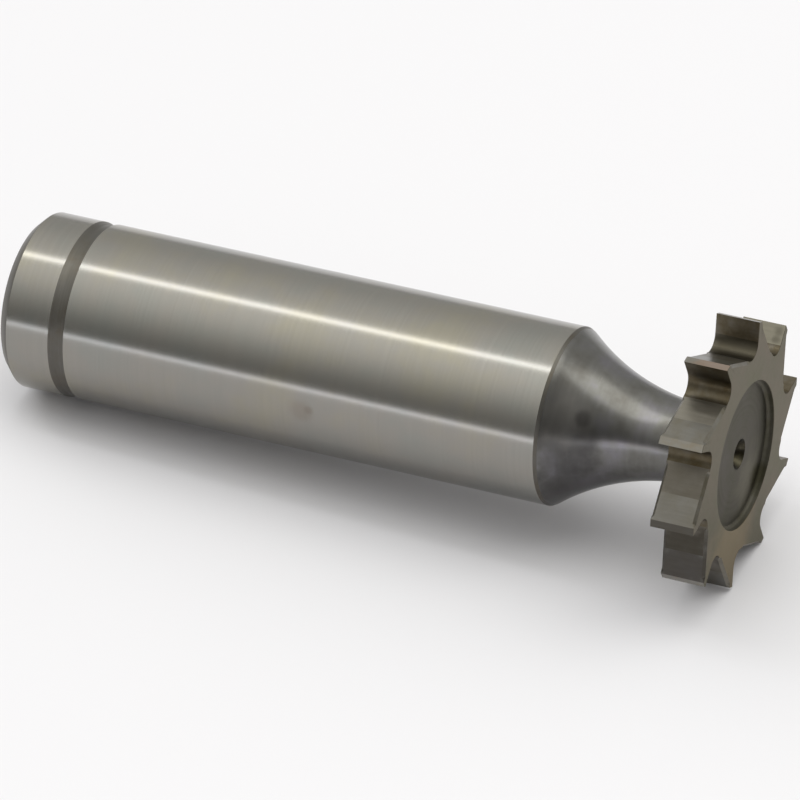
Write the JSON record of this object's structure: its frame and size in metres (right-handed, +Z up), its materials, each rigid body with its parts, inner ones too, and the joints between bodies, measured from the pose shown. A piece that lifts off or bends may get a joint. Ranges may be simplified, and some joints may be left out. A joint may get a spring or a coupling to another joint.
{
  "type": "woodruff keyseat cutter",
  "caption": "Slim shank-type milling cutter with a plain round shank, a waisted neck and a narrow toothed wheel, for cutting half-round keyseats in shafts.",
  "frame": {"origin": "on the surface it lies on, under the middle of its bounding box", "axes": "+X runs along the shank towards the cutting end, turned up from the tool's own axis by its lie of about 3.3 degrees; +Z is up; +Y is the far side in the picture, across the shank"},
  "size_m": [0.055, 0.0194, 0.0187],
  "materials": {
    "ground_steel": "bare tool steel, cylindrically ground on the shank and the wheel, turned and duller on the neck, milled in the gullets, with no coating"
  },
  "bodies": {
    "root": {"cutter": "ground_steel"}
  },
  "joints": []
}
